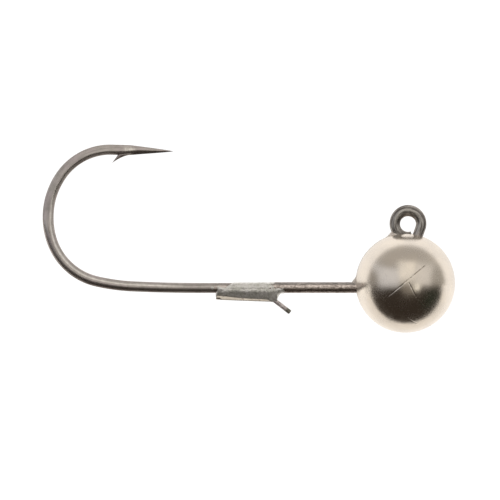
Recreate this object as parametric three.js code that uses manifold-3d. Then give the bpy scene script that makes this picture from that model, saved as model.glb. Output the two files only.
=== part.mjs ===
// Fishing jig head: a single bent wire makes the hook, its shank and its line eye; a slotted
// ball weight sits on the wire under the eye, closed by a run of solder; and a short bent
// keeper wire is soldered under the shank to hold a soft bait.
//
// Millimetres. The origin is the centre of the line eye. +X runs along the shank from the
// bend towards the ball, +Z is up, and the whole wire lies in the plane Y = 0.

import * as THREE from "three";
import { mergeVertices } from "three/addons/utils/BufferGeometryUtils.js";
import Module from "manifold-3d";

const wasm = await Module();
wasm.setup();

// ---------------------------------------------------------------- driving dimensions

// Hook wire
const WIRE_RADIUS = 0.475;
const WIRE_SIDES = 14;
const CHORD_ERROR = 0.005;         // how far a facet's chord may cut inside a bend

// Line eye and riser
const EYE_RADIUS = 1.22;           // eye centre to wire centre
const EYE_END = 288;               // where the loop's cut end stops, degrees round the eye
const EYE_SWEPT_END = 262;         // the loop past here is a separate sweep, joined on
const EYE_END_OVERLAP = 8;         // how far back that sweep starts inside the wire, degrees
const EYE_END_THINNING = 0.985;    // its radius as a share of the wire's
const EYE_SLIT = 0.1;              // the cut end stops this far short of the riser
const RISER_LEAN = 20;             // the riser leans back this far from upright, degrees
const RISER_BEND_RADIUS = 1.5;

// Shank, and the bend as [radius, turn in degrees] from the shank round to the point
const SHANK_Z = -5.94;
const BEND_START_X = -19.17;
const BEND = [
  [137, 2.6],
  [19.6, 10.1],
  [5.72, 58.3],
  [6.8, 55.2],
  [5.51, 55.3],
];

// Point, and the barb's corners as [along the point's axis from its base, below that axis]
const POINT_BASE_X = -25.7;
const POINT_LENGTH = 4;
const POINT_TAPER = 0.85;          // below 1 gives a slightly bellied point
const POINT_STATIONS = 8;
const POINT_OVERLAP = 0.2;         // how far its base starts inside the wire
const POINT_BASE_THINNING = 0.99;  // its base radius as a share of the wire's
const BARB_THICKNESS = 0.5;
const BARB_ROOT = [-1.09, 0.38];
const BARB_TIP = [-1.64, 1.22];
const BARB_BELLY = [-0.6, 0.6];
const BARB_NOSE = [0.4, 0.42];
const BARB_BURIED = 0.2;           // how far below the axis its hidden edge runs

// Ball weight and its slot
const BALL_RADIUS = 4.6;
const BALL_X = -0.25;
const BALL_Z = -5.49;
const BALL_MERIDIANS = 48;
const BALL_PARALLELS = 32;
const SLOT_RISE = 0.1;             // how far the slot's cutter reaches above the ball
const SLOT_OVERRUN = 1;            // how far it reaches out past the side of the ball
const FIT_GAP = 0.02;              // clearance between pieces that are soldered together

// Hollow fillets of solder, [length along the ball or shank, height], where the shank leaves
// the ball and where the side of the eye does
const FILLET_WIDTH = 0.8;
const FILLET_FOOT = 0.35;          // how deep a fillet reaches into the slot
const FILLET_CREST = 0.1;          // how wide its top edge is
const SHANK_FILLET = [0.45, 0.7];
const EYE_FILLET = [0.3, 0.55];
const EYE_FILLET_X = -1.55;

// Keeper wire under the shank
const KEEPER_RADIUS = 0.22;
const KEEPER_SIDES = 10;
const KEEPER_X = -17.77;
const KEEPER_Z = -6.81;
const KEEPER_HEADING = -2.2;       // its straight run falls slightly towards the ball
const KEEPER_RUN = 5.15;
const KEEPER_BEND_RADIUS = 0.5;
const KEEPER_BEND = 35.2;
const KEEPER_TAIL = 1.8;

// Solder over the shank and the keeper wire
const SOLDER_WALL = 0.07;
const SOLDER_SAG = 0.1;            // the solder round the keeper hangs this far below its axis
const SOLDER_LEFT = -17.7;         // its toe on the keeper wire, at the bend's end
const SOLDER_LEFT_TOP = -16.3;     // where its left end reaches the top of the shank
const SOLDER_RIGHT_TOP = -12.2;    // where its right end reaches the top of the shank
const SOLDER_RIGHT_TOE = -11.5;    // the fillet's toe on the underside of the shank
const SOLDER_RIGHT = -12.1;        // the fillet's foot on the keeper wire's bend
const CURVE_SEGMENTS = 8;
const SPARE = 1;                   // how far a cutting solid reaches past what it cuts

// Finishes: colour, roughness, metalness
const HOOK_STEEL = [0x8a827c, 0.38, 0.95];
const BALL_METAL = [0xd6ccbe, 0.25, 0.95];
const SLOT_SOLDER = [0xc4c2c0, 0.4, 0.9];
const KEEPER_STEEL = [0xa9a49c, 0.4, 0.9];
const KEEPER_SOLDER = [0xc9c9c4, 0.5, 0.9];

// ---------------------------------------------------------------- helpers

const radians = THREE.MathUtils.degToRad;

// A run of wire in the plane Y = 0: straight lengths and clockwise bends laid end to end.
// Headings are degrees anticlockwise from +X, seen with +Z up and looking along +Y.
// The curve's parameter counts facets, so each straight is one facet and each bend has as
// many as keep its chords within CHORD_ERROR of the true arc.
class WireRun extends THREE.Curve {
  constructor(x, z, heading) {
    super();
    this.stretches = [];
    this.facets = 0;
    this.tip = { x, z, angle: radians(heading) };
  }

  line(length) {
    this.stretches.push({ ...this.tip, length, first: this.facets, facets: 1 });
    return this.moveOn(1);
  }

  bend(radius, turn) {
    const facetTurn = 2 * Math.acos(1 - CHORD_ERROR / radius);
    const facets = Math.ceil(radians(turn) / facetTurn);
    const stretch = { ...this.tip, radius, turn: radians(turn), first: this.facets, facets };
    this.stretches.push(stretch);
    return this.moveOn(facets);
  }

  moveOn(facets) {
    this.facets += facets;
    this.tip = this.placeAt(this.facets);
    return this;
  }

  placeAt(facet) {
    const s = this.stretches.findLast((stretch) => facet >= stretch.first);
    const share = (facet - s.first) / s.facets;
    if (!s.radius) {
      const distance = share * s.length;
      return {
        x: s.x + distance * Math.cos(s.angle),
        z: s.z + distance * Math.sin(s.angle),
        angle: s.angle,
      };
    }
    const angle = s.angle - share * s.turn;
    return {
      x: s.x + s.radius * (Math.sin(s.angle) - Math.sin(angle)),
      z: s.z + s.radius * (Math.cos(angle) - Math.cos(s.angle)),
      angle,
    };
  }

  getPointAt(t) {
    const { x, z } = this.placeAt(t * this.facets);
    return new THREE.Vector3(x, 0, z);
  }

  getTangentAt(t) {
    const { angle } = this.placeAt(t * this.facets);
    return new THREE.Vector3(Math.cos(angle), 0, Math.sin(angle));
  }
}

function circle(radius, sides) {
  const points = [];
  for (let i = 0; i < sides; i++) {
    const angle = (2 * Math.PI * (i + 0.5)) / sides;
    points.push(new THREE.Vector2(radius * Math.cos(angle), radius * Math.sin(angle)));
  }
  return new THREE.Shape(points);
}

function wire(run, radius, sides) {
  const steps = run.facets;
  return new THREE.ExtrudeGeometry(circle(radius, sides), { extrudePath: run, steps });
}

function outline(corners) {
  return new THREE.Shape(corners.map(([x, z]) => new THREE.Vector2(x, z)));
}

// A plate of the given thickness centred on Y = 0, from its outline in x and z
function plate(shape, thickness) {
  const geometry = new THREE.ExtrudeGeometry(shape, {
    depth: thickness,
    bevelEnabled: false,
    curveSegments: CURVE_SEGMENTS,
  });
  geometry.rotateX(Math.PI / 2);
  geometry.translate(0, thickness / 2, 0);
  return geometry;
}

function solid(geometry) {
  geometry.deleteAttribute("normal");
  geometry.deleteAttribute("uv");
  const merged = mergeVertices(geometry);
  return new wasm.Manifold(new wasm.Mesh({
    numProp: 3,
    vertProperties: new Float32Array(merged.attributes.position.array),
    triVerts: new Uint32Array(merged.index.array),
  }));
}

function geometryOf(manifold) {
  const mesh = manifold.getMesh();
  const geometry = new THREE.BufferGeometry();
  geometry.setAttribute("position", new THREE.BufferAttribute(mesh.vertProperties, 3));
  geometry.setIndex(new THREE.BufferAttribute(mesh.triVerts, 1));
  geometry.computeVertexNormals();
  return geometry;
}

function part(name, manifold, [color, roughness, metalness]) {
  const material = new THREE.MeshStandardMaterial({ color, roughness, metalness });
  const mesh = new THREE.Mesh(geometryOf(manifold), material);
  mesh.name = name;
  return mesh;
}

// ---------------------------------------------------------------- the wire's run

// Clockwise round the eye, between two angles
function eyeRun(from, to) {
  const angle = radians(from);
  return new WireRun(EYE_RADIUS * Math.cos(angle), EYE_RADIUS * Math.sin(angle), from - 90)
    .bend(EYE_RADIUS, from - to);
}

// From the eye, which the riser is tangent to, down the riser, round the corner inside the
// ball and along the shank
function shankRun() {
  const run = eyeRun(EYE_SWEPT_END, -RISER_LEAN);
  const corner = 90 - RISER_LEAN;
  const cornerDrop = RISER_BEND_RADIUS * (1 - Math.cos(radians(corner)));
  run.line((run.tip.z - SHANK_Z - cornerDrop) / Math.cos(radians(RISER_LEAN)));
  run.bend(RISER_BEND_RADIUS, corner);
  return run.line(run.tip.x - BEND_START_X);
}

function hookRun() {
  const run = shankRun();
  for (const [radius, turn] of BEND) {
    run.bend(radius, turn);
  }
  return run.line((POINT_BASE_X - run.tip.x) / Math.cos(run.tip.angle));
}

const hookCentre = hookRun();
const keeperCentre = new WireRun(KEEPER_X, KEEPER_Z, KEEPER_HEADING)
  .line(KEEPER_RUN)
  .bend(KEEPER_BEND_RADIUS, KEEPER_BEND)
  .line(KEEPER_TAIL);

// The last stretch of the loop, a hair thinner than the wire it is joined to
function eyeEnd(wireRadius) {
  const run = eyeRun(EYE_END, EYE_SWEPT_END - EYE_END_OVERLAP);
  return solid(wire(run, EYE_END_THINNING * wireRadius, WIRE_SIDES));
}

// The space that the hook wire takes out of its neighbours
function hookClearance() {
  const radius = WIRE_RADIUS + FIT_GAP;
  return solid(wire(shankRun(), radius, WIRE_SIDES)).add(eyeEnd(radius));
}

// ---------------------------------------------------------------- hook

// A place on or beside the point's axis: along it from the point's base, and below it
function besidePoint(along, below) {
  const { x, z, angle } = hookCentre.tip;
  return [
    x + along * Math.cos(angle) + below * Math.sin(angle),
    z + along * Math.sin(angle) - below * Math.cos(angle),
  ];
}

// The ground point, a bellied cone that starts a little way inside the wire
function point() {
  const baseRadius = WIRE_RADIUS * POINT_BASE_THINNING;
  const profile = [
    new THREE.Vector2(0, -POINT_OVERLAP),
    new THREE.Vector2(baseRadius, -POINT_OVERLAP),
  ];
  for (let i = 0; i <= POINT_STATIONS; i++) {
    const u = i / POINT_STATIONS;
    profile.push(new THREE.Vector2(baseRadius * (1 - u) ** POINT_TAPER, u * POINT_LENGTH));
  }
  const geometry = new THREE.LatheGeometry(profile, WIRE_SIDES);
  const { x, z, angle } = hookCentre.tip;
  const axis = new THREE.Vector3(Math.cos(angle), 0, Math.sin(angle));
  geometry.applyQuaternion(
    new THREE.Quaternion().setFromUnitVectors(new THREE.Vector3(0, 1, 0), axis),
  );
  return geometry.translate(x, 0, z);
}

// The barb, a sliver raised on the inner side that points back towards the bend
function barb() {
  const corners = [
    [BARB_ROOT[0] + BARB_BURIED, BARB_BURIED],
    BARB_ROOT,
    BARB_TIP,
    BARB_BELLY,
    BARB_NOSE,
    [BARB_NOSE[0], BARB_BURIED],
  ];
  const placed = corners.map(([along, below]) => besidePoint(along, below));
  return plate(outline(placed), BARB_THICKNESS);
}

// The loop's last stretch, trimmed so that a slit runs between it and the riser
function trimmedEyeEnd() {
  const { x, z } = eyeRun(0, -RISER_LEAN).tip;
  const riser = new WireRun(x, z, -90 - RISER_LEAN).line(2 * EYE_RADIUS);
  return eyeEnd(WIRE_RADIUS).subtract(solid(wire(riser, WIRE_RADIUS + EYE_SLIT, WIRE_SIDES)));
}

function hook() {
  return solid(wire(hookCentre, WIRE_RADIUS, WIRE_SIDES))
    .add(trimmedEyeEnd())
    .add(solid(point()))
    .add(solid(barb()));
}

// ---------------------------------------------------------------- ball weight and filler

function ball() {
  const geometry = new THREE.SphereGeometry(BALL_RADIUS, BALL_MERIDIANS, BALL_PARALLELS);
  return solid(geometry.translate(BALL_X, 0, BALL_Z));
}

// The slot runs from the shank round to the eye, above and behind the wire
function slotPlate(thickness) {
  const outside = BALL_RADIUS + SLOT_OVERRUN;
  const corner = shankRun().stretches.find((s) => s.radius === RISER_BEND_RADIUS);
  const riserTop = BALL_Z + BALL_RADIUS + SLOT_RISE;
  const riserX = corner.x + (riserTop - corner.z) * Math.tan(radians(RISER_LEAN));
  const shankX = corner.x - RISER_BEND_RADIUS * Math.sin(radians(90 - RISER_LEAN));
  const sector = outline([
    [BALL_X - outside, SHANK_Z],
    [shankX, SHANK_Z],
    [corner.x, corner.z],
    [riserX, riserTop],
    [BALL_X - outside, riserTop],
  ]);
  return solid(plate(sector, thickness));
}

function ballWeight() {
  return ball()
    .subtract(slotPlate(2 * (WIRE_RADIUS + FIT_GAP)))
    .subtract(hookClearance());
}

// A hollow fillet of solder in the corner at [x, z], reaching left and up
function fillet(x, z, [left, up]) {
  const foot = z - FILLET_FOOT;
  const right = x + FILLET_FOOT;
  const shape = outline([[x - left, foot], [right, foot], [right, z + up]]);
  shape.lineTo(x + FILLET_CREST, z + up);
  shape.quadraticCurveTo(x, z, x - left, z);
  return solid(plate(shape, FILLET_WIDTH));
}

// Flush with the ball, with a fillet where the shank leaves it and another beside the eye
function slotFiller() {
  const shankTop = SHANK_Z + WIRE_RADIUS;
  const ballEdgeX = BALL_X - Math.sqrt(BALL_RADIUS ** 2 - (shankTop - BALL_Z) ** 2);
  const eyeSideZ = BALL_Z + Math.sqrt(BALL_RADIUS ** 2 - (EYE_FILLET_X - BALL_X) ** 2);
  return slotPlate(2 * WIRE_RADIUS)
    .intersect(ball())
    .add(fillet(ballEdgeX, shankTop, SHANK_FILLET))
    .add(fillet(EYE_FILLET_X, eyeSideZ, EYE_FILLET))
    .subtract(hookClearance());
}

// ---------------------------------------------------------------- keeper

function keeperWire() {
  return solid(wire(keeperCentre, KEEPER_RADIUS, KEEPER_SIDES));
}

// Rounded outline, in the plane across the shank, round the shank above and the keeper below
function solderSection() {
  const topRadius = WIRE_RADIUS + SOLDER_WALL;
  const bottomRadius = KEEPER_RADIUS + SOLDER_WALL;
  const bottomZ = KEEPER_Z - SOLDER_SAG;
  const flare = Math.asin((topRadius - bottomRadius) / (SHANK_Z - bottomZ));
  const shape = new THREE.Shape();
  shape.absarc(0, SHANK_Z, topRadius, -flare, Math.PI + flare, false);
  shape.absarc(0, bottomZ, bottomRadius, Math.PI + flare, 2 * Math.PI - flare, false);
  return shape;
}

// Outline seen from the side: a slanted left end, and a right end that sweeps in a hollow
// from the underside of the shank down to the keeper wire's bend
function solderSide() {
  const top = SHANK_Z + WIRE_RADIUS + SPARE;
  const shankUnder = SHANK_Z - WIRE_RADIUS;
  const keeperUnder = KEEPER_Z - KEEPER_RADIUS;
  const keeperFall = Math.tan(radians(KEEPER_HEADING)) * (SOLDER_RIGHT - KEEPER_X);
  const shape = new THREE.Shape();
  shape.moveTo(SOLDER_LEFT, keeperUnder);
  shape.lineTo(SOLDER_RIGHT, keeperUnder + keeperFall);
  shape.quadraticCurveTo(SOLDER_RIGHT, shankUnder, SOLDER_RIGHT_TOE, shankUnder);
  shape.lineTo(SOLDER_RIGHT_TOP, SHANK_Z + WIRE_RADIUS);
  shape.lineTo(SOLDER_RIGHT_TOP, top);
  shape.lineTo(SOLDER_LEFT_TOP, top);
  shape.lineTo(SOLDER_LEFT_TOP, SHANK_Z + WIRE_RADIUS);
  shape.lineTo(SOLDER_LEFT, shankUnder);
  return shape;
}

function keeperSolder() {
  const left = SOLDER_LEFT - SPARE;
  const sleeve = new THREE.ExtrudeGeometry(solderSection(), {
    depth: SOLDER_RIGHT_TOE + SPARE - left,
    bevelEnabled: false,
    curveSegments: CURVE_SEGMENTS,
  });
  sleeve.rotateX(Math.PI / 2);
  sleeve.rotateZ(Math.PI / 2);
  sleeve.translate(left, 0, 0);
  const keeperSpace = wire(keeperCentre, KEEPER_RADIUS + FIT_GAP, KEEPER_SIDES);
  return solid(sleeve)
    .intersect(solid(plate(solderSide(), 4 * WIRE_RADIUS)))
    .subtract(hookClearance())
    .subtract(solid(keeperSpace));
}

// ---------------------------------------------------------------- assembly

const jigHead = new THREE.Group();
jigHead.add(part("hook", hook(), HOOK_STEEL));
jigHead.add(part("ball_weight", ballWeight(), BALL_METAL));
jigHead.add(part("slot_filler", slotFiller(), SLOT_SOLDER));
jigHead.add(part("keeper_wire", keeperWire(), KEEPER_STEEL));
jigHead.add(part("keeper_solder", keeperSolder(), KEEPER_SOLDER));

export default jigHead;
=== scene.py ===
"""Fishing jig head: a ball weight with a line eye on a barbed wire hook, and a soldered keeper.

The pieces are built here in millimetres, in the CAD frame: the origin is the centre of the
line eye, +X runs along the shank from the bend to the ball, and +Z is up. The hook's wire
lies in the plane Y = 0, and the camera looks along +Y.
"""

import math

import bpy
import numpy as np
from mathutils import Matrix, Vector, noise


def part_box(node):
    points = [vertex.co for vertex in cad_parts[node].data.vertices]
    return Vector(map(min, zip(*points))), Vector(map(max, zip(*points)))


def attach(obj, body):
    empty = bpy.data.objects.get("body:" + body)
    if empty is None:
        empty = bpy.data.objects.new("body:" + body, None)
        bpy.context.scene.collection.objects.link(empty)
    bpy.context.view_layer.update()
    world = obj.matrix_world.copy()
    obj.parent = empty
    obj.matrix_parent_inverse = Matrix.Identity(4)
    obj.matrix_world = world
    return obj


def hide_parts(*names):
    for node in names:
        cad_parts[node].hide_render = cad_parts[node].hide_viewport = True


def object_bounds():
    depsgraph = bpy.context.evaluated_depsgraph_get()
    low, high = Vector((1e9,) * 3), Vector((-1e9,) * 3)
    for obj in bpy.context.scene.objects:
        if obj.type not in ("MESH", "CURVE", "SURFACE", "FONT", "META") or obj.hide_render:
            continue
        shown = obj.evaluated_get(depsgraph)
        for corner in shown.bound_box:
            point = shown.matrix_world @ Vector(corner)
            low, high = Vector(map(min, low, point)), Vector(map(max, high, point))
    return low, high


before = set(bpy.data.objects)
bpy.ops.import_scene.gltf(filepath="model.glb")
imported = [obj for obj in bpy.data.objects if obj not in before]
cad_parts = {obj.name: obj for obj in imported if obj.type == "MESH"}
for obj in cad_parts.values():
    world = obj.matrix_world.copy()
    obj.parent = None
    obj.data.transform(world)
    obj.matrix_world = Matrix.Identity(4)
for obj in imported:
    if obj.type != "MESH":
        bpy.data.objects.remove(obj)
cad_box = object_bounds()

MM = 0.001

# ------------------------------------------------------------------ driving dimensions, mm

WIRE_RADIUS = 0.475

EYE_RADIUS = 1.22
EYE_END = 288
EYE_SLIT = 0.12
RISER_LEAN = 20
RISER_BEND_RADIUS = 1.5

SHANK_Z = -5.94
BEND_START_X = -19.17
BEND = [(137, 2.6), (19.6, 10.1), (5.72, 58.3), (6.8, 55.2), (5.51, 55.3)]
POINT_BASE_X = -25.7
POINT_LENGTH = 4.0

KEEPER_RADIUS = 0.22
KEEPER_START = (-17.77, -6.81)
KEEPER_HEADING = -2.2
KEEPER_RUN = 5.15
KEEPER_BEND = (0.5, 35.2)
KEEPER_TAIL = 1.8

ball_low, ball_high = (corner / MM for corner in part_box("ball_weight"))
BALL_RADIUS = (ball_high.y - ball_low.y) / 2
BALL_CENTRE = np.array([ball_high.x - BALL_RADIUS, 0, ball_low.z + BALL_RADIUS])


# ------------------------------------------------------------------ camera, floor and light

def look_at(place, target):
    return (target - place).to_track_quat("-Z", "Y").to_euler()


AIM_OFFSET = Vector((0.000093, 0, -0.00105))
VIEW_WIDTH = 1.2137         # of the object's length


def make_camera(low, high):
    aim = (low + high) / 2 + AIM_OFFSET
    width = (high.x - low.x) * VIEW_WIDTH
    camera_data = bpy.data.cameras.new("camera")
    camera_data.lens = 200
    camera_data.sensor_width = 36
    distance = width / camera_data.sensor_width * camera_data.lens
    camera_data.clip_start = 0.01
    camera_data.clip_end = 20
    camera = bpy.data.objects.new("camera", camera_data)
    camera.location = aim + Vector((0, -distance, 0))
    camera.rotation_euler = look_at(camera.location, aim)
    bpy.context.scene.collection.objects.link(camera)
    bpy.context.scene.camera = camera


low_corner, high_corner = (Vector(corner) for corner in cad_box)
make_camera(low_corner, high_corner)


# ------------------------------------------------------------------ node helpers

class Nodes:
    """Short calls for building a node tree."""

    def __init__(self, tree):
        self.tree = tree
        tree.nodes.clear()

    def add(self, kind, inputs=None, **settings):
        node = self.tree.nodes.new(kind)
        for name, value in settings.items():
            setattr(node, name, value)
        for name, value in (inputs or {}).items():
            self.feed(node.inputs[name], value)
        return node

    def feed(self, socket, value):
        if isinstance(value, bpy.types.NodeSocket):
            self.tree.links.new(value, socket)
        elif socket.type == "RGBA" and len(value) == 3:
            socket.default_value = (*value, 1)
        else:
            socket.default_value = value

    def math(self, operation, *values):
        node = self.add("ShaderNodeMath", operation=operation)
        for socket, value in zip(node.inputs, values):
            self.feed(socket, value)
        return node.outputs[0]

    def smooth(self, value, start, end, low=0.0, high=1.0):
        """low before start, high after end, with a smooth step between."""
        node = self.add("ShaderNodeMapRange", interpolation_type="SMOOTHSTEP")
        if start > end:
            start, end, low, high = end, start, high, low
        limits = {"From Min": start, "From Max": end, "To Min": low, "To Max": high}
        for name, number in limits.items():
            node.inputs[name].default_value = number
        self.feed(node.inputs["Value"], value)
        return node.outputs["Result"]

    def mix(self, factor, first, second):
        node = self.add("ShaderNodeMix", data_type="RGBA")
        self.feed(node.inputs[0], factor)
        self.feed(node.inputs[6], first)
        self.feed(node.inputs[7], second)
        return node.outputs[2]

    def noise(self, vector, scale, detail=3.0, roughness=0.5, distortion=0.0):
        node = self.add("ShaderNodeTexNoise", {"Vector": vector, "Scale": scale, "Detail": detail})
        node.inputs["Roughness"].default_value = roughness
        node.inputs["Distortion"].default_value = distortion
        return node.outputs["Fac"]

    def attribute(self, name, output="Fac"):
        return self.add("ShaderNodeAttribute", attribute_name=name).outputs[output]

    def scaled(self, vector, scale):
        node = self.add("ShaderNodeVectorMath", operation="MULTIPLY")
        self.feed(node.inputs[0], vector)
        node.inputs[1].default_value = scale
        return node.outputs[0]

    def white_to_camera(self, lit, white_kind, output_kind):
        """The camera sees plain white, while light and reflections come from lit."""
        white = self.add(white_kind, {"Color": (1, 1, 1), "Strength": WHITE_STRENGTH})
        chooser = self.add("ShaderNodeMixShader")
        self.feed(chooser.inputs[0], self.add("ShaderNodeLightPath").outputs["Is Camera Ray"])
        self.feed(chooser.inputs[1], lit)
        self.feed(chooser.inputs[2], white.outputs[0])
        out = self.add(output_kind)
        self.feed(out.inputs["Surface"], chooser.outputs[0])


# ------------------------------------------------------------------ studio

WHITE_STRENGTH = 1.1
FLOOR_DROP = 0.03           # metres below the object


def make_world():
    """A light tent open towards the camera: warm white all round the back, and a dim room in
    front with three soft windows. The camera itself sees plain white."""
    world = bpy.data.worlds.new("studio")
    bpy.context.scene.world = world
    world.use_nodes = True
    n = Nodes(world.node_tree)
    direction = n.add("ShaderNodeTexCoord").outputs["Generated"]
    split = n.add("ShaderNodeSeparateXYZ", {0: direction})
    x, y, z = split.outputs

    room_top = (0.41, 0.38, 0.345)
    room_side = (0.27, 0.25, 0.225)
    room_low = (0.031, 0.023, 0.017)
    tent = (0.97, 0.93, 0.885)

    def window(left, right, bottom, top, soft, foot):
        """A soft-edged oblong on the front of the room. Its top may slope, and its lower edge
        fades over foot to each side."""
        inside = n.math("MULTIPLY", n.smooth(x, left - soft, left + soft),
                        n.smooth(x, right + soft, right - soft))
        height = n.math("SUBTRACT", z, top)
        band = n.math("MULTIPLY", n.smooth(z, bottom - foot, bottom + foot),
                      n.smooth(height, 2 * soft, -2 * soft))
        return n.math("MULTIPLY", inside, band)

    def spot(centre, size):
        """A soft round patch of light in one direction."""
        middle = Vector(centre).normalized()
        away = n.add("ShaderNodeVectorMath", {0: direction, 1: middle}, operation="DISTANCE")
        return n.smooth(away.outputs["Value"], size, size * 0.3)

    colour = n.mix(n.smooth(z, 0.35, 0.8), room_side, room_top)
    colour = n.mix(n.smooth(x, 0.4, 0.8, 0.0, 0.3), colour, (0.56, 0.52, 0.45))
    colour = n.mix(n.smooth(z, 0.04, -0.22), colour, room_low)
    colour = n.mix(spot((0.80, -0.30, -0.50), 0.55), colour, (0.016, 0.019, 0.011))
    colour = n.mix(spot((0.08, -0.94, -0.18), 0.42), colour, (0.20, 0.175, 0.145))
    colour = n.mix(window(-0.92, -0.30, -0.13, 0.55, 0.05, 0.11), colour, (0.64, 0.63, 0.63))
    slope = n.math("SUBTRACT", 0.90, n.math("MULTIPLY", x, 0.42))
    colour = n.mix(window(0.36, 0.85, -0.06, slope, 0.05, 0.10), colour, (0.70, 0.665, 0.62))
    colour = n.mix(window(-0.30, 0.33, 0.05, 0.78, 0.035, 0.22), colour, (0.86, 0.81, 0.73))
    colour = n.mix(spot((0.39, -0.89, -0.15), 0.20), colour, (1.10, 1.05, 0.94))
    tilt = n.math("MULTIPLY", z, n.math("SUBTRACT", n.math("MULTIPLY", z, 0.12), 0.16))
    behind = n.math("SUBTRACT", y, tilt)
    colour = n.mix(n.smooth(behind, 0.11, 0.31), colour, tent)

    lamp = n.add("ShaderNodeBackground", {"Color": colour, "Strength": 1.0})
    n.white_to_camera(lamp.outputs[0], "ShaderNodeBackground", "ShaderNodeOutputWorld")


def make_floor(low):
    """A pale sheet under and behind the object, bright enough to meet the white backdrop."""
    width, front, back_edge = 0.6, 0.0063, 0.6
    level = low.z - FLOOR_DROP
    corners = [
        (-width, front, level), (width, front, level),
        (width, back_edge, level), (-width, back_edge, level),
    ]
    mesh = bpy.data.meshes.new("floor")
    mesh.from_pydata(corners, [], [(0, 1, 2, 3)])
    floor = bpy.data.objects.new("floor", mesh)
    bpy.context.scene.collection.objects.link(floor)
    material = bpy.data.materials.new("pale_floor")
    material.use_nodes = True
    n = Nodes(material.node_tree)
    place = n.add("ShaderNodeTexCoord").outputs["Object"]
    back = n.smooth(n.add("ShaderNodeSeparateXYZ", {0: place}).outputs["Y"], 0.012, 0.06)
    shader = n.add("ShaderNodeBsdfPrincipled", {
        "Base Color": (0.62, 0.60, 0.57),
        "Roughness": 0.9,
        "Emission Color": n.mix(back, (1.0, 0.96, 0.91), (1.0, 0.985, 0.965)),
        "Emission Strength": n.math("ADD", 0.42, n.math("MULTIPLY", back, 0.16)),
    })
    n.white_to_camera(shader.outputs[0], "ShaderNodeEmission", "ShaderNodeOutputMaterial")
    mesh.materials.append(material)


def make_lamp(target):
    """A large, weak softbox overhead."""
    lamp_data = bpy.data.lights.new("softbox", "AREA")
    lamp_data.shape = "SQUARE"
    lamp_data.size = 0.5
    lamp_data.energy = 0.04
    lamp_data.color = (1.0, 0.97, 0.93)
    lamp = bpy.data.objects.new("softbox", lamp_data)
    lamp.location = target + Vector((0, 0.25, 0.6))
    lamp.rotation_euler = look_at(lamp.location, target)
    lamp.visible_camera = False
    bpy.context.scene.collection.objects.link(lamp)


make_world()
make_floor(low_corner)
make_lamp((low_corner + high_corner) / 2)
bpy.context.scene.view_settings.view_transform = "Standard"


# ------------------------------------------------------------------ mesh helpers

def piece(name, points, faces, material, node, attributes=None):
    """A smooth-shaded piece from points in mm. It stands for one CAD node."""
    mesh = bpy.data.meshes.new(name)
    mesh.from_pydata((np.asarray(points) * MM).tolist(), [], faces)
    mesh.validate()
    mesh.shade_smooth()
    for key, values in (attributes or {}).items():
        values = np.asarray(values, np.float32)
        kind = "FLOAT_VECTOR" if values.ndim == 2 else "FLOAT"
        field = "vector" if values.ndim == 2 else "value"
        mesh.attributes.new(key, kind, "POINT").data.foreach_set(field, values.ravel())
    mesh.materials.append(material)
    obj = bpy.data.objects.new(name, mesh)
    bpy.context.scene.collection.objects.link(obj)
    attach(obj, "root")
    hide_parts(node)
    return obj


def grid_faces(rows, columns, first=0):
    """Quads of a grid of points that closes on itself along each row."""
    faces = []
    for i in range(rows - 1):
        a = first + i * columns
        b = a + columns
        for j in range(columns):
            k = (j + 1) % columns
            faces.append((a + j, a + k, b + k, b + j))
    return faces


def lumps(points, size, seed, octaves=3):
    """Smooth noise at each point, about -1 to 1, with features of the given size in mm."""
    offset = Vector((seed * 7.3, seed * 3.1, seed * 5.7))
    return np.array([
        noise.fractal(Vector(p) / size + offset, 1.0, 2.0, octaves) for p in points
    ])


def smoothstep(value, start, end):
    t = np.clip((value - start) / (end - start), 0, 1)
    return t * t * (3 - 2 * t)


# ------------------------------------------------------------------ wire runs

class WireRun:
    """Straight lengths and clockwise bends, laid end to end in the plane Y = 0."""

    def __init__(self, x, z, heading):
        self.stretches = []
        self.length = 0.0
        self.tip = (x, z, math.radians(heading))

    def line(self, length):
        return self.extend(length, math.inf)

    def bend(self, radius, turn):
        return self.extend(radius * math.radians(turn), radius)

    def extend(self, length, radius):
        self.stretches.append((self.length, *self.tip, radius))
        self.length += length
        x, z, angle = self.at(np.array([self.length]))
        self.tip = (x[0], z[0], angle[0])
        return self

    def at(self, distance):
        """x, z and heading in radians at each distance along the run."""
        starts = np.array([s[0] for s in self.stretches])
        which = np.clip(np.searchsorted(starts, distance, side="right") - 1, 0, None)
        first, x, z, angle, radius = np.moveaxis(np.array(self.stretches)[which], -1, 0)
        d = distance - first
        straight = np.isinf(radius)
        r = np.where(straight, 1.0, radius)
        turned = angle - d / r
        return (
            x + np.where(straight, d * np.cos(angle), r * (np.sin(angle) - np.sin(turned))),
            z + np.where(straight, d * np.sin(angle), r * (np.cos(turned) - np.cos(angle))),
            np.where(straight, angle, turned),
        )


def eye_run(start, end):
    angle = math.radians(start)
    run = WireRun(EYE_RADIUS * math.cos(angle), EYE_RADIUS * math.sin(angle), start - 90)
    return run.bend(EYE_RADIUS, start - end)


def hook_run():
    run = eye_run(EYE_END, -RISER_LEAN)
    corner = 90 - RISER_LEAN
    drop = RISER_BEND_RADIUS * (1 - math.cos(math.radians(corner)))
    run.line((run.tip[1] - SHANK_Z - drop) / math.cos(math.radians(RISER_LEAN)))
    run.bend(RISER_BEND_RADIUS, corner)
    run.line(run.tip[0] - BEND_START_X)
    bend_start = run.length
    for radius, turn in BEND:
        run.bend(radius, turn)
    run.line((POINT_BASE_X - run.tip[0]) / math.cos(run.tip[2]))
    point_base = run.length
    run.line(POINT_LENGTH)
    return run, bend_start, point_base


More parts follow.
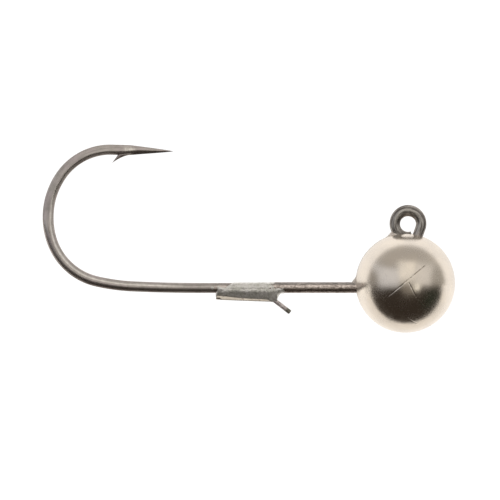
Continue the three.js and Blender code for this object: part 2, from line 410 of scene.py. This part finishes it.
def sweep(run, distance, around, radial):
    """Points of a swept wire: rows at each distance, columns at each angle around. An angle
    of 0 is the inner side of the bends, and 270 degrees faces the camera."""
    x, z, heading = run.at(distance)
    inward = radial * np.cos(around)
    sideways = radial * np.sin(around)
    points = np.stack([
        x + inward * np.sin(heading),
        sideways + 0 * x,
        z - inward * np.cos(heading),
    ], axis=-1)
    return points.reshape(-1, 3)


def capped(points, rows, columns):
    """Faces of a swept wire, closed by a fan at each end; returns points with the two centres."""
    faces = grid_faces(rows, columns)
    first = points[:columns].mean(axis=0)
    last = points[-columns:].mean(axis=0)
    a = len(points)
    b = a + 1
    end = (rows - 1) * columns
    for j in range(columns):
        k = (j + 1) % columns
        faces.append((k, j, a))
        faces.append((end + j, end + k, b))
    return np.vstack([points, first, last]), faces


# ------------------------------------------------------------------ materials

def new_material(name):
    material = bpy.data.materials.new(name)
    material.use_nodes = True
    n = Nodes(material.node_tree)
    place = n.add("ShaderNodeTexCoord").outputs["Object"]
    return material, n, n.scaled(place, (1 / MM, 1 / MM, 1 / MM))


def finish_metal(n, colour, roughness, height, relief, edge=(1, 1, 1), metallic=1.0):
    """A metal whose bumps stand up to relief mm. The edge tint darkens it at grazing angles."""
    bump = n.add("ShaderNodeBump", {"Strength": 1.0, "Distance": relief * MM, "Height": height})
    shader = n.add("ShaderNodeBsdfPrincipled", {
        "Base Color": colour,
        "Metallic": metallic,
        "Roughness": roughness,
        "Specular Tint": edge,
        "Normal": bump.outputs[0],
    })
    out = n.add("ShaderNodeOutputMaterial")
    n.feed(out.inputs["Surface"], shader.outputs[0])


def ball_material():
    """Plated tungsten: warm, satin, faintly clouded, with a fine grain and a few specks. The
    "score" attribute marks the hairlines and "haze" the skin that the solder's flux dulled."""
    material, n, at = new_material("plated_tungsten")
    score = n.attribute("score")
    haze = n.attribute("haze")
    cloud = n.noise(at, 0.7, 4)
    grain = n.noise(at, 7.0, 4, 0.65)
    colour = n.mix(n.smooth(cloud, 0.35, 0.65), (0.90, 0.83, 0.745), (0.86, 0.80, 0.73))
    specks = n.smooth(n.noise(at, 5.5, 2, 0.6), 0.66, 0.72)
    colour = n.mix(n.math("MULTIPLY", specks, 0.25), colour, (0.45, 0.40, 0.35))
    dirt = n.math("MULTIPLY", score, n.smooth(n.noise(at, 2.4, 3), 0.42, 0.56, 0.10, 1.0))
    colour = n.mix(dirt, colour, (0.20, 0.17, 0.14))
    satin = n.math("ADD", n.smooth(cloud, 0.3, 0.7, 0.19, 0.25), n.smooth(grain, 0.3, 0.7, 0.0, 0.05))
    roughness = n.math("ADD", satin, n.math("MULTIPLY", haze, 0.45))
    finish_metal(n, colour, roughness, grain, 0.003)
    return material


def hook_material():
    """Black-nickel steel wire with faint lengthwise drawing marks. Attributes mark where the
    plating is burnt off and thinly tinned, where shade is painted along the wire's underside
    and inside the upper bend, and where highlights are painted on the lower bend and the point."""
    material, n, at = new_material("black_nickel_steel")
    wire = n.attribute("wire", "Vector")
    tinned = n.attribute("tinned")
    under = n.attribute("under")
    painted_point_glint = n.attribute("painted_point_glint")
    painted_highlight_line = n.attribute("painted_highlight_line")
    loop = n.attribute("loop")
    drawn = n.noise(n.scaled(wire, (0.5, 9, 9)), 1.0, 3)
    cloud = n.noise(at, 0.55, 3)
    mottle = n.noise(at, 1.9, 4, 0.6)
    grit = n.noise(n.scaled(wire, (1.8, 5, 5)), 1.5, 4, 0.7)
    # Streaks that break up the painted highlight at the base of the point
    glint_streaks = n.noise(n.scaled(wire, (14, 1.5, 1.5)), 1.0, 2)
    plated = n.mix(n.smooth(cloud, 0.40, 0.60), (0.60, 0.565, 0.55), (0.59, 0.535, 0.54))
    plated = n.mix(n.smooth(mottle, 0.45, 0.62, 0.0, 0.6), plated, (0.47, 0.455, 0.43))
    plated = n.mix(n.smooth(drawn, 0.42, 0.70, 0.0, 0.40), plated, (0.36, 0.335, 0.32))
    # A painted highlight line along the lower bend, lighter in patches
    highlight_strength = n.math("MULTIPLY", painted_highlight_line, n.smooth(mottle, 0.30, 0.60, 1.0, 0.6))
    plated = n.mix(highlight_strength, plated, (1.0, 0.98, 0.95))
    # A painted highlight at the base of the point, on the side facing the camera, broken into streaks
    glint_strength = n.math("MULTIPLY", painted_point_glint, n.smooth(glint_streaks, 0.30, 0.46))
    plated = n.mix(glint_strength, plated, (1.0, 0.97, 0.93))
    strand = n.noise(n.scaled(wire, (0.7, 6.5, 6.5)), 1.0, 4, 0.65)
    handled = n.mix(n.smooth(strand, 0.40, 0.60), (0.20, 0.185, 0.18), (0.60, 0.585, 0.56))
    plated = n.mix(loop, plated, handled)
    tin = n.mix(n.smooth(grit, 0.40, 0.58), (0.40, 0.35, 0.33), (0.90, 0.82, 0.79))
    # Painted shade: the top of the tinned stretch is darkened, patchily
    top = n.smooth(n.add("ShaderNodeSeparateXYZ", {0: wire}).outputs["Y"], 0.22, 0.40)
    tin = n.mix(n.math("MULTIPLY", top, n.smooth(mottle, 0.35, 0.6, 0.45, 0.8)), tin, (0.25, 0.245, 0.24))
    colour = n.mix(tinned, plated, tin)
    # Painted shade: the wire's underside, the inside of the upper bend and the barb are darkened, patchily
    underside_shade_strength = n.smooth(cloud, 0.3, 0.7, 0.32, 0.55)
    colour = n.mix(n.math("MULTIPLY", under, underside_shade_strength), colour, (0.10, 0.075, 0.06))
    smooth_steel = n.smooth(drawn, 0.3, 0.7, 0.36, 0.46)
    # The wire is also a little smoother along the painted highlight line
    smooth_steel = n.math("SUBTRACT", smooth_steel, n.math("MULTIPLY", painted_highlight_line, 0.10))
    rough_tin = n.smooth(grit, 0.3, 0.7, 0.42, 0.26)
    roughness = n.mix(tinned, smooth_steel, rough_tin)
    height = n.mix(tinned, n.math("MULTIPLY", drawn, 0.5), grit)
    finish_metal(n, colour, roughness, height, 0.004, (0.45, 0.38, 0.33))
    return material


def solder_material(name, tint, dull, sheen, frost, metallic=1.0, patch_scale=1.8, relief=0.014):
    """Tin solder with dull flux stains. Its roughness runs from sheen to frost. Where oxide
    clouds the solder, metallic is under 1."""
    material, n, at = new_material(name)
    grain = n.noise(at, 5.0, 5, 0.7, 0.4)
    patches = n.noise(at, patch_scale, 3)
    flecks = n.smooth(n.noise(at, 3.2, 2, 0.6), 0.60, 0.66)
    colour = n.mix(n.smooth(patches, 0.40, 0.66), tint, dull)
    colour = n.mix(n.math("MULTIPLY", flecks, 0.35), colour, (0.42, 0.42, 0.38))
    roughness = n.smooth(grain, 0.3, 0.7, sheen, frost)
    finish_metal(n, colour, roughness, grain, relief, metallic=metallic)
    return material


def keeper_material():
    """Tinned keeper wire, dull and stained along its tail and nearly black at its cut tip."""
    material, n, at = new_material("tinned_keeper_steel")
    tail = n.attribute("tail")
    tip = n.attribute("tip")
    stain = n.noise(at, 2.6, 4, 0.6)
    grain = n.noise(at, 8.0, 3)
    bright = n.mix(n.smooth(stain, 0.50, 0.68), (0.88, 0.82, 0.74), (0.50, 0.44, 0.40))
    dull = n.mix(n.smooth(stain, 0.42, 0.62), (1.0, 0.96, 0.94), (0.66, 0.60, 0.62))
    colour = n.mix(tail, bright, dull)
    colour = n.mix(n.math("MULTIPLY", tip, 0.8), colour, (0.20, 0.20, 0.15))
    roughness = n.math("ADD", n.smooth(grain, 0.3, 0.7, 0.30, 0.50), n.math("MULTIPLY", tail, 0.25))
    finish_metal(n, colour, roughness, grain, 0.012)
    return material


# ------------------------------------------------------------------ hook

def section(around, radius, planes, sharpness=16):
    """Distance from a bar's axis to its surface at each angle around: a round bar cut by
    planes, each given by the angle that it faces and its distance from the axis."""
    total = (radius + 0 * around) ** -sharpness
    for angle, distance in planes:
        facing = np.maximum(np.cos(around - angle), 0)
        total = total + (facing / distance) ** sharpness
    return total ** (-1 / sharpness)


def eye_end_trim(run, around):
    """How far each line along the loop starts from the loop's end, to leave a slit beside the
    riser that follows it."""
    reach = EYE_RADIUS * math.radians(36)
    distance = np.linspace(0, reach, 200)[:, None] + 0 * around
    x, y, z = sweep(run, distance, around, WIRE_RADIUS).reshape(200, -1, 3).transpose(2, 0, 1)
    lean = math.radians(-RISER_LEAN)
    foot_x, foot_z = EYE_RADIUS * math.cos(lean), EYE_RADIUS * math.sin(lean)
    across = (x - foot_x) * math.cos(lean) - (z - foot_z) * -math.sin(lean)
    inside = np.hypot(across, y) < WIRE_RADIUS + EYE_SLIT
    last = 199 - np.argmax(inside[::-1], axis=0)
    return np.where(inside.any(axis=0), distance[last, 0], 0), reach


def make_hook():
    run, bend_start, point_base = hook_run()
    columns = 96
    around = np.linspace(0, 2 * math.pi, columns, endpoint=False)[None, :]
    body = np.arange(0, point_base, 0.08)
    taper = point_base + POINT_LENGTH * np.linspace(0, 1, 90) ** 0.9
    along = np.concatenate([body, taper[:-1]])[:, None]
    past = along - bend_start

    # Half the wire's width in the hook's plane: the eye's crown and the bend are swollen where
    # the wire was squeezed flat
    crown = EYE_RADIUS * math.radians(EYE_END - 90)
    loop = smoothstep(along, crown + 4.0, crown + 2.2)
    half = np.interp(past, [0, 6, 10, 16, 21, 24.5, 27.5, 30],
                     [0.48, 0.49, 0.505, 0.51, 0.505, 0.485, 0.475, 0.475])
    half = half + loop * (0.02 + 0.045 * np.exp(-((along - crown) / 1.2) ** 2))
    left = np.clip(1 - (along - point_base) / POINT_LENGTH, 0, 1)
    half = half * np.where(along > point_base, left ** 0.83, 1)

    forged = smoothstep(past, 14.5, 18.5)
    bevelled = smoothstep(past, 16.3, 19.5)
    ground = smoothstep(along, point_base - 1.7, point_base + 1.2)
    away = 1.6

    def change(values, weight, target):
        return values + (target - values) * weight

    # Each plane faces an angle round the wire, at a distance in half widths
    flat = change(change(away, forged, 0.76), ground, 0.64)
    bevel = change(change(away, bevelled, 0.88), ground, 0.55)
    bar = change(change(1.0, forged, 1.09), ground, 1.04)
    planes = [(0, 1.02 * half), (math.pi, 1.02 * half)]
    for side in (-1, 1):
        planes.append((side * np.radians(change(90, forged, 98)), flat * half))
        planes.append((side * np.radians(change(45, ground, 57)), bevel * half))
    radial = section(around, bar * half, planes, 14)

    # Faint lengthwise creases along the inner side of the lower bend
    creased = smoothstep(past, 1.0, 5.0) * smoothstep(past, 18.0, 14.0)
    for centre, depth in ((-0.78, 0.018), (-1.50, 0.010), (0.78, 0.018)):
        off = (around - centre + math.pi) % (2 * math.pi) - math.pi
        radial = radial - creased * depth * np.exp(-(off / 0.12) ** 2)

    # The tinned stretch between the keeper and the ball is thicker and rough
    x, _, _ = run.at(along)
    on_shank = (along < bend_start) & (along > bend_start - 16)
    ragged = 0.25 * np.sin(3 * around) + 0.15 * np.sin(7 * around + 1)
    tinned = smoothstep(x + ragged, -13.2, -12.4) * on_shank
    plain = sweep(run, along + 0 * around, around, radial)
    grit = lumps(plain, 0.22, 1).reshape(radial.shape)
    wave = lumps(plain, 1.6, 2, 1).reshape(radial.shape)
    radial = radial + tinned * (0.036 + 0.036 * np.cos(around) + 0.008 * grit)
    radial = radial + 0.004 * wave * np.minimum(left * 4, 1)

    trim, reach = eye_end_trim(run, around)
    start = np.where(along < reach, trim + along / reach * (reach - trim), along)
    points = sweep(run, start, around, radial)
    wire = np.stack([along + 0 * around, radial * np.cos(around), radial * np.sin(around)], axis=-1)
    points, faces = capped(points, len(along), columns)
    wire = np.vstack([wire.reshape(-1, 3), [(0, 0, 0), (float(along[-1, 0]), 0, 0)]])
    stained = smoothstep(x + ragged, -18.5, -17.4) * smoothstep(x, -15.5, -16.5) * on_shank
    tinned = np.append(np.maximum(tinned, 0.6 * stained), (0, 0))

    # Painted shade mask: the downward side of the wire, and at half strength the inside of the upper bend
    _, _, heading = run.at(along)
    downward = np.cos(around) * np.cos(heading)
    inside = smoothstep(np.cos(around), 0.70, 0.90) * smoothstep(past, 15.5, 18.0) * (left > 0.2)
    under = np.append(np.maximum(smoothstep(downward, 0.40, 0.80), 0.5 * inside), (0, 0))
    # Painted highlight spot at the base of the point, on the side facing the camera
    glint_spread = ((along - point_base + 0.08) / 0.50) ** 4 + ((around - math.radians(266)) / 0.62) ** 4
    painted_point_glint = np.append(np.exp(-glint_spread), (0, 0))
    # A painted highlight line along the lower bend, near its inner edge on the side facing the camera
    ridge = math.radians(294) + 0.16 * forged
    line = np.exp(-((around - ridge) / (0.24 - 0.06 * forged)) ** 2)
    painted_highlight_line = np.append(line * smoothstep(past, 0.5, 4.5) * smoothstep(past, 24.0, 19.0), (0, 0))
    loop = np.append(loop + 0 * around, (1, 0))

    barb_points, barb_faces = barb(run, point_base, len(points))
    points = np.vstack([points, barb_points])
    faces += barb_faces
    wire = np.vstack([wire, barb_points])
    masks = {"tinned": tinned, "under": under, "painted_point_glint": painted_point_glint, "painted_highlight_line": painted_highlight_line, "loop": loop}
    # The barb gets the painted underside shade at 0.6
    on_barb = {"under": 0.6}
    for name, mask in masks.items():
        masks[name] = np.append(mask, np.full(len(barb_points), on_barb.get(name, 0.0)))
    return piece("hook_wire", points, faces, hook_material(), "hook",
                 {"wire": wire, **masks})


def barb(run, point_base, first):
    """A sliver raised on the inner side of the point, lofted from its nose to its tip. Its
    outlines are places along the point from its base, and below the point's axis."""
    nose, tip = np.array((0.80, 0.33)), np.array((-1.68, 1.24))
    belly, root = np.array((-0.48, 0.56)), np.array((-1.08, 0.36))
    rows, columns = 46, 28
    t = np.linspace(0, 1, rows)[:, None]
    outer = (1 - t) ** 2 * nose + 2 * t * (1 - t) * (2 * belly - (nose + tip) / 2) + t ** 2 * tip
    buried = nose + (root - nose) * np.minimum(t / 0.6, 1) - (0, 0.15) * (1 - np.minimum(t / 0.6, 1))
    inner = np.where(t < 0.6, buried, root + (tip - root) * (t - 0.6) / 0.4)
    thickness = (0.04 + 0.24 * (1 - t) ** 0.8) * (0.08 + 0.92 * smoothstep(t, 0, 0.45))
    around = np.linspace(0, 2 * math.pi, columns, endpoint=False)
    swing = np.sign(np.cos(around)) * np.abs(np.cos(around)) ** 0.75
    middle, reach = (outer + inner) / 2, (outer - inner) / 2
    along = middle[:, :1] + reach[:, :1] * swing
    below = middle[:, 1:] + reach[:, 1:] * swing
    x0, z0, angle = (float(v[0]) for v in run.at(np.array([point_base])))
    points = np.stack([
        x0 + along * math.cos(angle) + below * math.sin(angle),
        thickness * np.sin(around),
        z0 + along * math.sin(angle) - below * math.cos(angle),
    ], axis=-1).reshape(-1, 3)
    points, faces = capped(points, rows, columns)
    return points, [tuple(first + k for k in face) for face in faces]


# ------------------------------------------------------------------ ball weight

SLOT_HALF_WIDTH = 0.49
SLOT_DEPTH = 0.3
SLOT_START = math.radians(75)        # angles round the ball from +X, seen along +Y
SLOT_END = math.radians(186)

# Hairline scores on the face of the ball: [start x, start z, end x, end z], in ball radii, and
# how much dirt each one holds
SCORES = [
    (0.37, 0.39, -0.43, -0.29, 1.0),
    (0.01, 0.03, 0.17, -0.28, 0.9),
    (0.19, -0.29, 0.36, -0.46, 0.0),
    (0.02, -0.70, 0.19, -0.80, 0.0),
    (0.00, -0.56, 0.02, -0.62, 0.0),
]
SCORE_DEPTH = 0.015
SCORE_WIDTH = 0.042


def scores(x, y, z):
    """Depth in mm and dirt of the hairline scores at points on the ball's face, in ball radii."""
    depth, dirt = 0 * x, 0 * x
    for x0, z0, x1, z1, grime in SCORES:
        dx, dz = x1 - x0, z1 - z0
        t = np.clip(((x - x0) * dx + (z - z0) * dz) / (dx * dx + dz * dz), 0, 1)
        away = np.hypot(x - x0 - t * dx, z - z0 - t * dz) * BALL_RADIUS
        fade = smoothstep(t, 0, 0.08) * smoothstep(t, 1, 0.92)
        cut = np.where(y < 0, fade * np.exp(-(away / SCORE_WIDTH) ** 2), 0)
        depth = np.maximum(depth, SCORE_DEPTH * cut)
        dirt = np.maximum(dirt, grime * cut)
    return depth, dirt


def make_ball():
    """Rings at steady y, with the poles on the Y axis, so that the slot's walls run along rings."""
    skin = BALL_RADIUS - 0.004
    edge = math.acos(SLOT_HALF_WIDTH / BALL_RADIUS)
    wall = 0.002
    tilt = np.concatenate([
        np.linspace(0, edge, 180)[1:],
        np.linspace(edge + wall, math.pi - edge - wall, 24),
        np.linspace(math.pi - edge, math.pi, 180)[:-1],
    ])[:, None]
    turn = np.linspace(0, 2 * math.pi, 460, endpoint=False)[None, :]
    x = np.sin(tilt) * np.cos(turn)
    y = -np.cos(tilt) + 0 * turn
    z = np.sin(tilt) * np.sin(turn)
    unit = np.stack([x, y, z], axis=-1)
    swell = lumps(unit.reshape(-1, 3) * BALL_RADIUS, 1.7, 3, 2).reshape(x.shape)
    cut, dirt = scores(x, y, z)
    radius = skin + 0.005 * swell - cut
    between_walls = np.abs(y) * BALL_RADIUS < SLOT_HALF_WIDTH - 0.001
    in_slot = (turn > SLOT_START) & (turn < SLOT_END) & between_walls
    radius = radius - SLOT_DEPTH * in_slot
    points = (BALL_CENTRE + unit * radius[..., None]).reshape(-1, 3)
    points, faces = capped(points, len(tilt), turn.shape[1])
    points[-2:] = BALL_CENTRE + np.array([(0, -1, 0), (0, 1, 0)]) * skin
    faces = [face[::-1] for face in faces]
    shank_exit = np.array([-1.0, 0, -0.1])
    haze = np.append(np.exp(-(np.linalg.norm(unit - shank_exit, axis=-1) / 0.26) ** 2), (0, 0))
    return piece("ball_skin", points, faces, ball_material(), "ball_weight",
                 {"score": np.append(dirt, (0, 0)), "haze": haze})


# ------------------------------------------------------------------ slot filler

def make_filler():
    """The run of solder that closes the slot: a strip flush with the ball, with one hollow
    fillet climbing the top of the shank and one climbing the side of the eye."""
    rows, columns = 420, 36
    turn = np.linspace(SLOT_START + 0.03, SLOT_END - 0.05, rows)[:, None]
    across = np.linspace(-1, 1, columns)[None, :]
    edge = SLOT_HALF_WIDTH - 0.015
    degrees = np.degrees(turn)
    shank_climb = 0.40 * smoothstep(degrees, 169, 181) ** 1.5
    eye_climb = 0.36 * np.clip((117 - degrees) / 12, 0, 1) ** 2.2 * smoothstep(degrees, 97, 101)
    crown = 1 - across ** 2
    climb = (shank_climb + eye_climb) * crown
    y = edge * across + 0 * turn
    ripple_at = np.stack([
        BALL_RADIUS * np.cos(turn) + 0 * y,
        y,
        BALL_RADIUS * np.sin(turn) + 0 * y,
    ], axis=-1)
    ripple = lumps(ripple_at.reshape(-1, 3), 0.5, 4).reshape(y.shape)
    top = BALL_RADIUS - 0.012 * across ** 4 + 0.012 * ripple + climb
    under = BALL_RADIUS - SLOT_DEPTH - 0.02 + 0 * y
    loop_y = np.concatenate([y, y[:, ::-1]], axis=1)
    loop_r = np.concatenate([top, under], axis=1)
    flat = np.sqrt(np.maximum(loop_r ** 2 - loop_y ** 2, 0))
    points = BALL_CENTRE + np.stack([flat * np.cos(turn), loop_y, flat * np.sin(turn)], axis=-1)
    points, faces = capped(points.reshape(-1, 3), rows, 2 * columns)
    material = solder_material("slot_solder", (0.99, 0.96, 0.93), (0.92, 0.88, 0.85), 0.80, 0.95)
    return piece("slot_solder", points, faces, material, "slot_filler")


# ------------------------------------------------------------------ keeper

def make_keeper_wire():
    """A round wire with nipped ends, pressed nearly square where it lies along the shank."""
    run = WireRun(*KEEPER_START, KEEPER_HEADING)
    run.line(KEEPER_RUN).bend(*KEEPER_BEND).line(KEEPER_TAIL)
    rows, columns = 300, 64
    along = np.linspace(0, run.length, rows)[:, None]
    around = np.linspace(0, 2 * math.pi, columns, endpoint=False)[None, :]
    from_end = np.minimum(along, run.length - along)
    nipped = 1 - 0.14 * smoothstep(from_end, 0.07, 0.0)
    left = run.length - along
    pressed = smoothstep(along, 0.1, 0.7) * smoothstep(left, KEEPER_TAIL + 0.1, KEEPER_TAIL + 0.7)
    side_reach = KEEPER_RADIUS * (1.3 - 0.46 * pressed)
    shape = section(around, KEEPER_RADIUS * (1 + 0.3 * pressed), [
        (0, KEEPER_RADIUS), (math.pi, KEEPER_RADIUS),
        (math.radians(97), side_reach), (math.radians(-97), side_reach),
    ], 20)
    plain = sweep(run, along + 0 * around, around, KEEPER_RADIUS + 0 * around)
    rough = lumps(plain, 0.25, 5).reshape(rows, columns)
    radial = (shape + 0.006 * rough) * nipped
    points = sweep(run, along + 0 * around, around, radial)
    points, faces = capped(points, rows, columns)
    masks = {
        "tail": smoothstep(left, KEEPER_TAIL + 0.3, KEEPER_TAIL - 0.1),
        "tip": smoothstep(left, 0.62, 0.35),
    }
    for name, mask in masks.items():
        masks[name] = np.append(np.repeat(mask, columns), (0, 1))
    return piece("keeper_pin", points, faces, keeper_material(), "keeper_wire", masks)


def round_cone(y, z, low, wide, narrow):
    """Distance from the outline round two circles, one above the other: wide at the origin and
    narrow at a depth of low."""
    slope = np.clip((wide - narrow) / low, -0.98, 0.98)
    rise = np.sqrt(1 - slope ** 2)
    y, depth = np.abs(y), -z
    k = rise * depth - slope * y
    above = np.hypot(y, depth) - wide
    below = np.hypot(y, depth - low) - narrow
    between = rise * y + slope * depth - wide
    return np.where(k < 0, above, np.where(k > rise * low, below, between))


def make_keeper_solder():
    """Solder that wets the shank and hangs down round the keeper wire. Across the shank its
    outline is a drop shape, found at each angle by halving. From the side its left end is
    slanted, its right end sweeps up in a hollow to the shank, and the keeper's underside
    shows below it."""
    rows, columns = 400, 200
    left, toe, foot, right = -18.55, -17.82, -12.12, -11.45
    blunt_length, end_depth = 0.25, 0.16
    x = np.linspace(left, right, rows)[:, None]
    turn = np.linspace(0, 2 * math.pi, columns, endpoint=False)[None, :]   # 0 points up
    dy, dz = np.sin(turn), np.cos(turn)

    rough_at = np.stack([x + 0 * dy, 0.55 * dy + 0 * x, 0.55 * dz + 0 * x], axis=-1).reshape(-1, 3)
    rough = lumps(rough_at, 0.36, 6).reshape(rows, columns)
    coarse = lumps(rough_at, 1.1, 7, 1).reshape(rows, columns)

    # The film starts later at the top of the shank than below, ends raggedly, and has one
    # splash beyond its left end
    film_start = -17.15 + 0.75 * dz + 0.45 * coarse + 0.20 * rough
    film_end = -12.25 + 0.20 * coarse
    film = smoothstep(x, film_start - 0.10, film_start + 0.60)
    film = film * smoothstep(x, film_end + 0.12, film_end - 0.25)
    facing = (turn - 1.5 * math.pi) / 0.42
    splash = np.exp(-((x + 18.12) / 0.19) ** 2 - facing ** 2)
    thickness = -0.03 + film * (0.072 + 0.022 * rough + 0.014 * coarse) + 0.062 * splash * (1 + 0.3 * rough)
    wide = WIRE_RADIUS + thickness

    # The underside follows the keeper wire, a little above its middle, then rises in a quarter
    # circle to the shank
    keeper_slope = math.tan(math.radians(KEEPER_HEADING))
    keeper_depth = SHANK_Z - KEEPER_START[1] - (x - KEEPER_START[0]) * keeper_slope
    rise = np.clip((x - foot) / (right - foot), 0, 1)
    hollow = 1 - np.sqrt(1 - (1 - rise) ** 2)
    wetted_depth = keeper_depth - 0.10 * smoothstep(x, -12.6, -13.6)
    wetted_depth = wetted_depth - 0.12 * smoothstep(x, -15.2, -17.0)
    low = np.where(x < foot, wetted_depth, end_depth + (wetted_depth - end_depth) * hollow)
    blunt = np.sqrt(np.clip(1 - ((toe + blunt_length - x) / blunt_length) ** 2, 0, 1))
    web = np.where(x <= toe, 0, np.where(x > toe + blunt_length, 1, blunt))

    # The solder has run down, so that its widest part is this far below the shank's axis
    sag = np.minimum(0.24 * smoothstep(x, toe, -16.8), 0.35 * (low - end_depth))
    sag = np.maximum(sag, 0.02)

    # Below this depth the keeper wire is bare
    bare_depth = keeper_depth + np.interp(x, [-17.8, -16.4, -14.9, -13.1, -12.9, -12.5],
                                          [-0.22, -0.10, -0.02, 0.0, 0.05, 0.4])

    inner, outer = np.full((rows, columns), 0.2), np.full((rows, columns), 1.6)
    for _ in range(24):
        r = (inner + outer) / 2
        y, z = r * dy, r * dz
        covered = smoothstep(-z - bare_depth, 0.05, -0.03)
        narrow = KEEPER_RADIUS - 0.04 + covered * (0.07 + 0.012 * rough)
        shank = np.hypot(y, z) - wide
        full = WIRE_RADIUS + 0.01 + 0.25 * sag + 0.034 * rough + 0.03 * coarse
        across = y / np.maximum(web, 0.02)
        bulge = round_cone(across, z, sag, WIRE_RADIUS - 0.015, full)
        drop = np.minimum(bulge, round_cone(across, z + sag, low - sag, full, narrow))
        inside = (shank < 0) | ((drop < 0) & (web > 0))
        inner, outer = np.where(inside, r, inner), np.where(inside, outer, r)
    points = np.stack([x + 0 * dy, outer * dy, SHANK_Z + outer * dz], axis=-1).reshape(-1, 3)
    points, faces = capped(points, rows, columns)
    material = solder_material("keeper_solder_frost", (1.0, 1.0, 0.99), (0.76, 0.77, 0.73), 0.28, 0.52,
                               metallic=0.58, patch_scale=2.7, relief=0.030)
    return piece("keeper_solder_run", points, faces, material, "keeper_solder")


make_hook()
make_ball()
make_filler()
make_keeper_wire()
make_keeper_solder()
